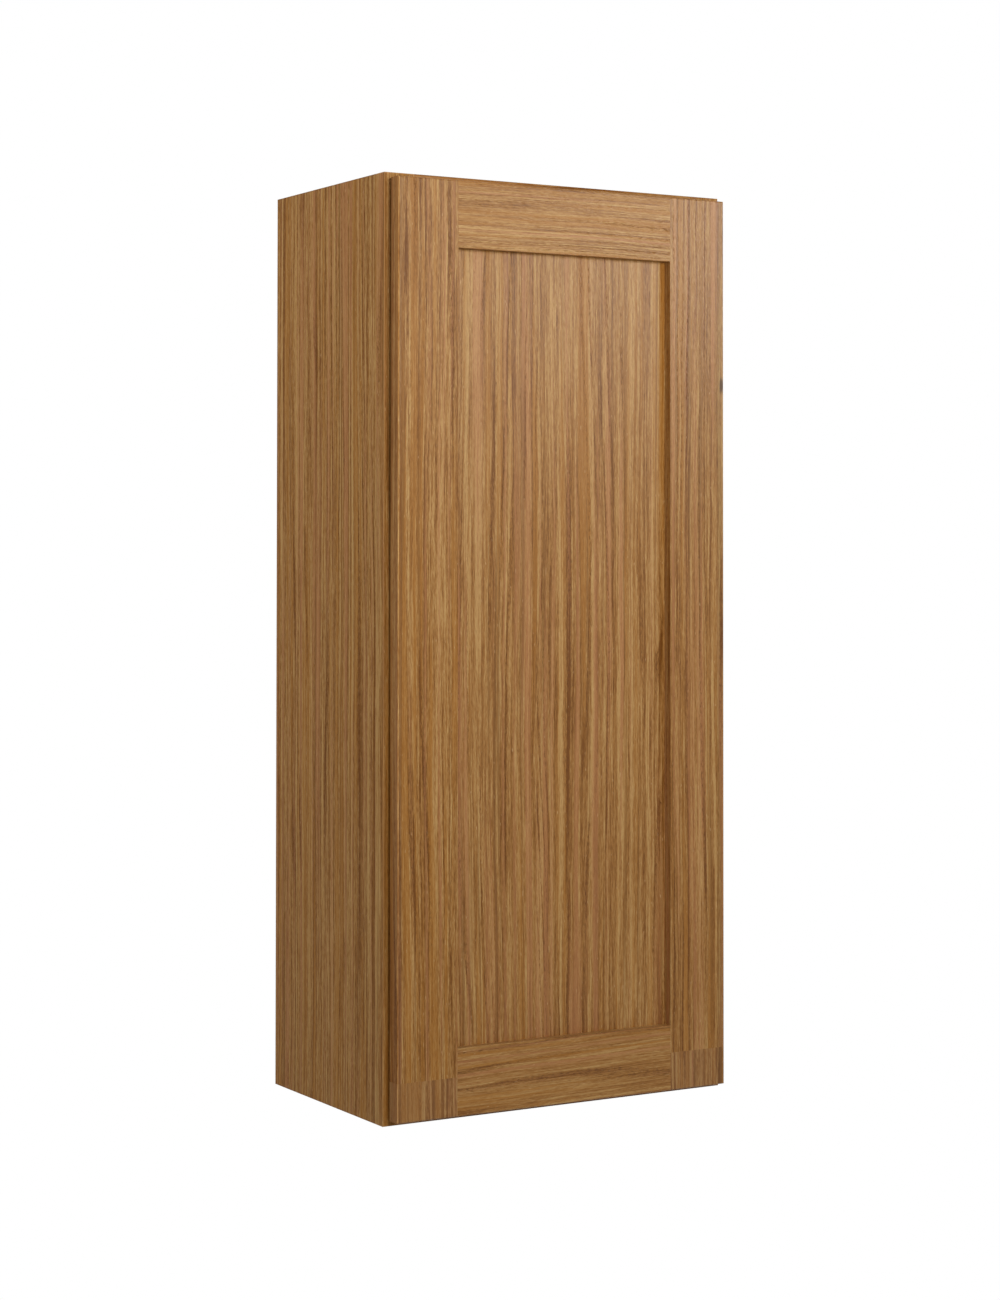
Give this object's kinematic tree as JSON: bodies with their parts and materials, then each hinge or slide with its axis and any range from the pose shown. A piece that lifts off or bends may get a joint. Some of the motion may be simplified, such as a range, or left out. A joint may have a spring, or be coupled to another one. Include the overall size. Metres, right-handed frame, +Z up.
{
  "type": "wall cabinet",
  "caption": "Tall narrow wall cabinet in straight-grained oak: framed carcass, flat-panel overlay door on concealed hinges, adjustable shelves on pins, hanging rails for wall screws.",
  "frame": {"origin": "on the wall plane, at the centre of the four wall-screw holes, which is the middle of the cabinet's width and height", "axes": "+X to the right seen from the front, +Y into the wall, +Z up; the door faces -Y"},
  "size_m": [0.45, 0.3075, 1.067],
  "materials": {
    "oak_door": "satin clear lacquer on rift-cut oak",
    "oak_carcass": "satin clear lacquer on oak veneer and oak frame",
    "oak_board": "satin oak veneer on ply",
    "interior_ply": "satin oak-faced ply",
    "rail_ply": "bare ply",
    "beech": "bare",
    "hinge_steel": "nickel plated",
    "pin_steel": "nickel plated",
    "screw_steel": "zinc plated",
    "bumper": "clear soft plastic"
  },
  "bodies": {
    "cabinet": {"back_panel": "interior_ply", "bottom_panel": "oak_board", "frame_bottom_rail": "oak_carcass", "frame_dowels": "beech", "frame_left_stile": "oak_carcass", "frame_right_stile": "oak_carcass", "frame_top_rail": "oak_carcass", "hinge_arm_screws": "screw_steel", "hinge_plate_screws": "screw_steel", "left_side_panel": "oak_carcass", "lower_hanging_rail": "rail_ply", "lower_hinge_arm": "hinge_steel", "lower_hinge_plate": "hinge_steel", "lower_shelf_pins": "pin_steel", "middle_hinge_arm": "hinge_steel", "middle_hinge_plate": "hinge_steel", "middle_shelf_pins": "pin_steel", "right_side_panel": "oak_carcass", "top_panel": "oak_board", "upper_hanging_rail": "rail_ply", "upper_hinge_arm": "hinge_steel", "upper_hinge_plate": "hinge_steel", "upper_shelf_pins": "pin_steel"},
    "door": {"door_bottom_rail": "oak_door", "door_bumpers": "bumper", "door_left_stile": "oak_door", "door_panel": "oak_door", "door_right_stile": "oak_door", "door_top_rail": "oak_door", "hinge_cup_screws": "screw_steel", "lower_hinge_cup": "hinge_steel", "lower_hinge_pin": "screw_steel", "middle_hinge_cup": "hinge_steel", "middle_hinge_pin": "screw_steel", "upper_hinge_cup": "hinge_steel", "upper_hinge_pin": "screw_steel"},
    "upper_shelf": {"upper_shelf": "oak_board"},
    "middle_shelf": {"middle_shelf": "oak_board"},
    "lower_shelf": {"lower_shelf": "oak_board"}
  },
  "joints": [
    {"name": "door_swing", "type": "hinge", "parent": "cabinet", "child": "door", "pos_m": [0.21015, -0.297, 0], "axis": [0, 0, 1], "range_deg": [0, 100]},
    {"name": "upper_shelf_lift", "type": "slide", "parent": "cabinet", "child": "upper_shelf", "axis": [0, 0, 1], "range_m": [0, 0.02]},
    {"name": "middle_shelf_lift", "type": "slide", "parent": "cabinet", "child": "middle_shelf", "axis": [0, 0, 1], "range_m": [0, 0.02]},
    {"name": "lower_shelf_lift", "type": "slide", "parent": "cabinet", "child": "lower_shelf", "axis": [0, 0, 1], "range_m": [0, 0.02]}
  ]
}
